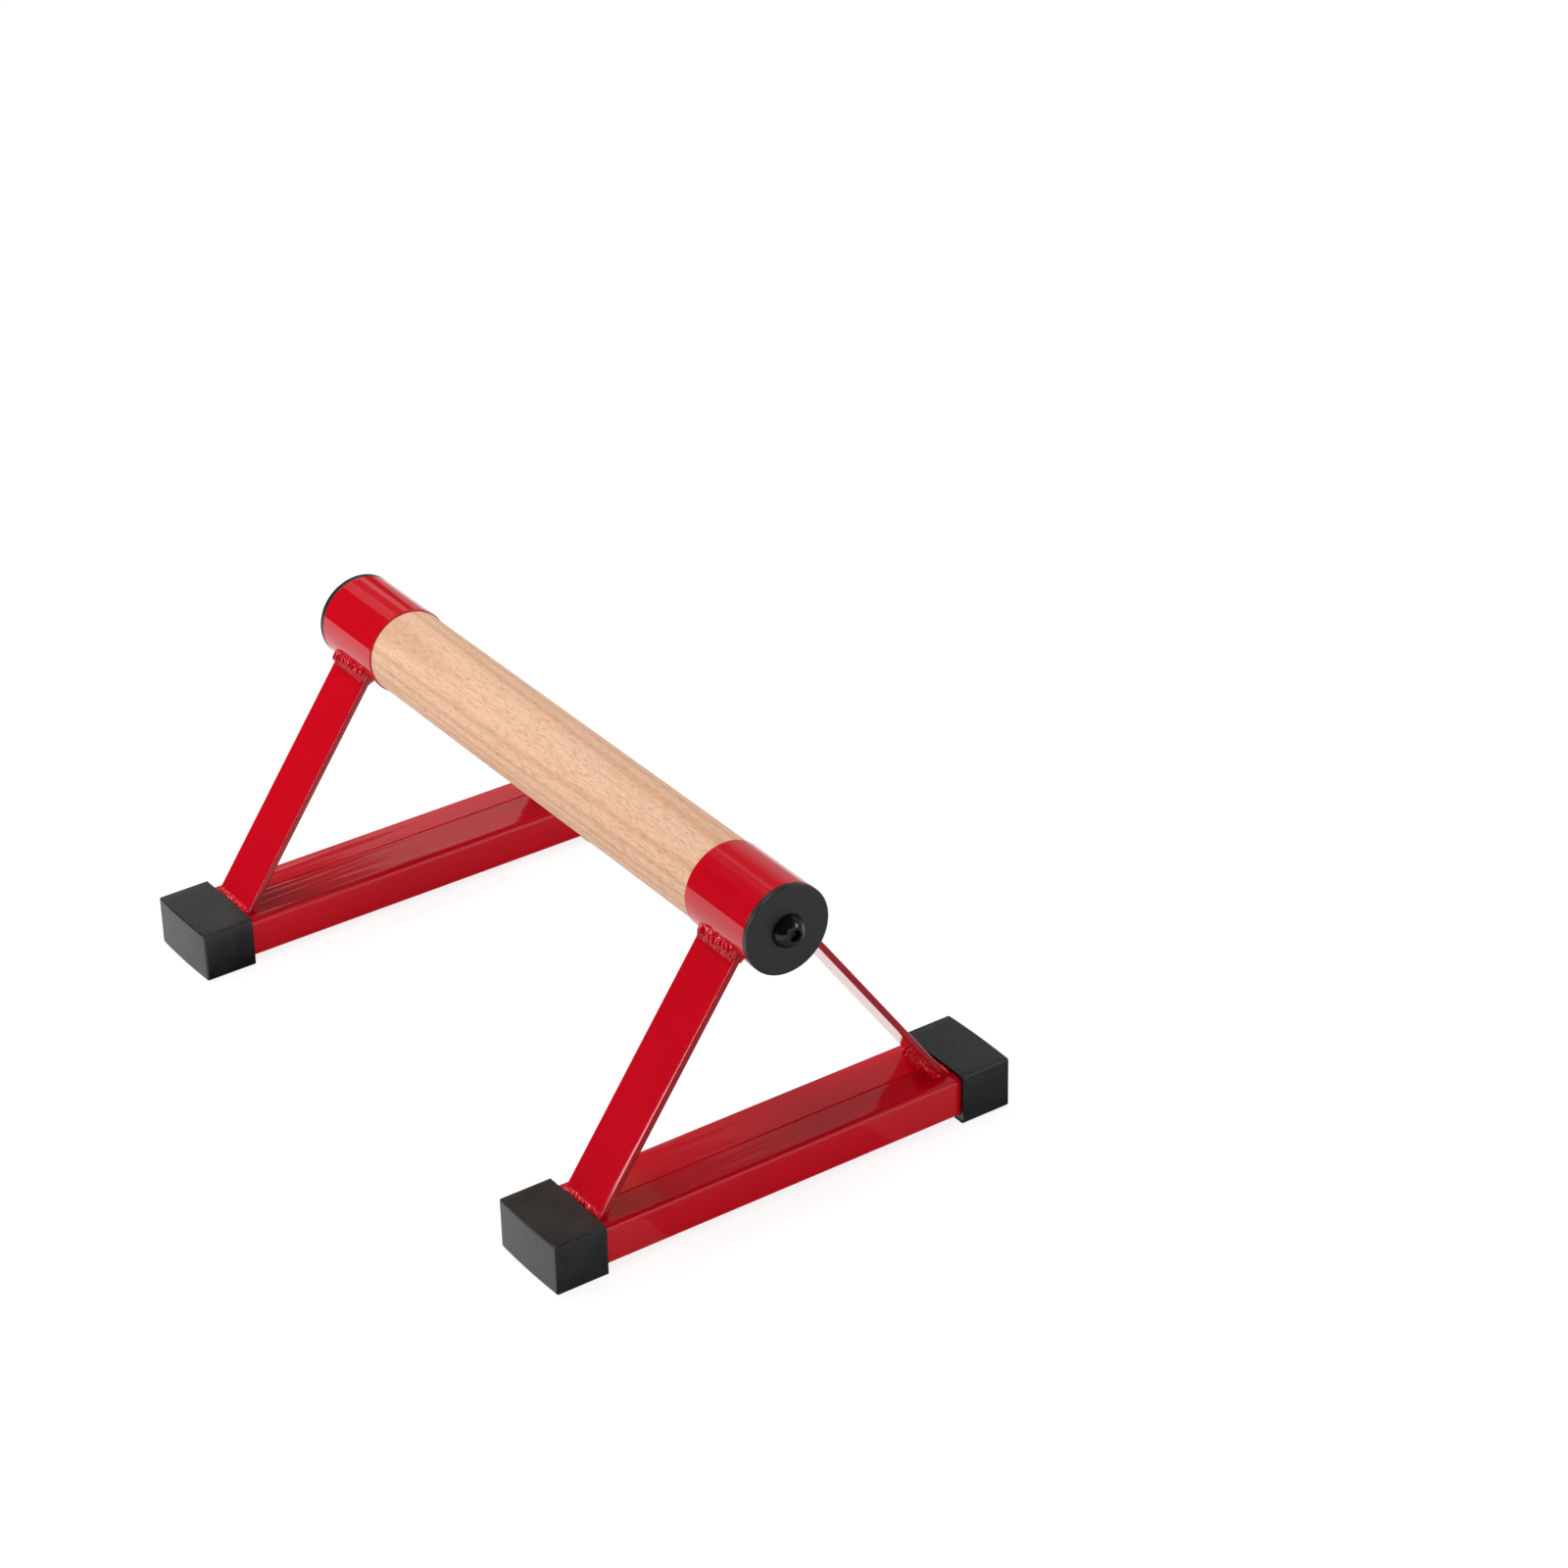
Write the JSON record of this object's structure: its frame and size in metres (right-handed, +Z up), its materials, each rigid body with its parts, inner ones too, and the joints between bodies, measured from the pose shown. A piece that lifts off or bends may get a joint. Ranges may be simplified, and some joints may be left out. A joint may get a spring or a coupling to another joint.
{
  "type": "parallette bar",
  "caption": "Free-standing parallette bar: a round wooden grip clamped between welded A-shaped steel end frames that stand on rubber-capped base tubes.",
  "frame": {"origin": "on the floor, midway between the four feet", "axes": "+X along the grip towards the right end frame, +Y along the base tubes towards the rear, +Z up"},
  "size_m": [0.3686, 0.2422, 0.1597],
  "materials": {
    "red_paint": "glossy red powder coat on welded mild steel",
    "beech_wood": "turned and sanded pale beech, unvarnished, with fine flecks along the grain",
    "black_rubber": "matte black moulded rubber",
    "black_plastic": "matte black moulded plastic",
    "black_steel": "black oxide on steel",
    "zinc_steel": "bright zinc on steel"
  },
  "bodies": {
    "frame": {"grip_dowel": "beech_wood", "left_socket": "red_paint", "left_base_tube": "red_paint", "left_threaded_insert": "zinc_steel", "left_front_leg": "red_paint", "left_front_foot_cap": "black_rubber", "left_front_foot_weld": "red_paint", "left_front_socket_weld": "red_paint", "left_rear_leg": "red_paint", "left_rear_foot_cap": "black_rubber", "left_rear_foot_weld": "red_paint", "left_rear_socket_weld": "red_paint", "right_socket": "red_paint", "right_base_tube": "red_paint", "right_threaded_insert": "zinc_steel", "right_front_leg": "red_paint", "right_front_foot_cap": "black_rubber", "right_front_foot_weld": "red_paint", "right_front_socket_weld": "red_paint", "right_rear_leg": "red_paint", "right_rear_foot_cap": "black_rubber", "right_rear_foot_weld": "red_paint", "right_rear_socket_weld": "red_paint"},
    "left_disc": {"left_end_disc": "black_plastic"},
    "left_bolt": {"left_clamp_bolt": "black_steel"},
    "right_disc": {"right_end_disc": "black_plastic"},
    "right_bolt": {"right_clamp_bolt": "black_steel"}
  },
  "joints": [
    {"name": "left_disc_slide", "type": "slide", "parent": "frame", "child": "left_disc", "axis": [-1, 0, 0], "range_m": [0, 0.01501]},
    {"name": "left_bolt_turn", "type": "hinge", "parent": "left_disc", "child": "left_bolt", "pos_m": [-0.17875, 0, 0.1385], "axis": [-1, 0, 0], "range_deg": [0, 4320]},
    {"name": "right_disc_slide", "type": "slide", "parent": "frame", "child": "right_disc", "axis": [1, 0, 0], "range_m": [0, 0.01501]},
    {"name": "right_bolt_turn", "type": "hinge", "parent": "right_disc", "child": "right_bolt", "pos_m": [0.17875, 0, 0.1385], "axis": [1, 0, 0], "range_deg": [0, 4320]}
  ],
  "couplings": [
    {"joint": "left_disc_slide", "follows": "left_bolt_turn", "m_per_rad": 0.00019894},
    {"joint": "right_disc_slide", "follows": "right_bolt_turn", "m_per_rad": 0.00019894}
  ]
}
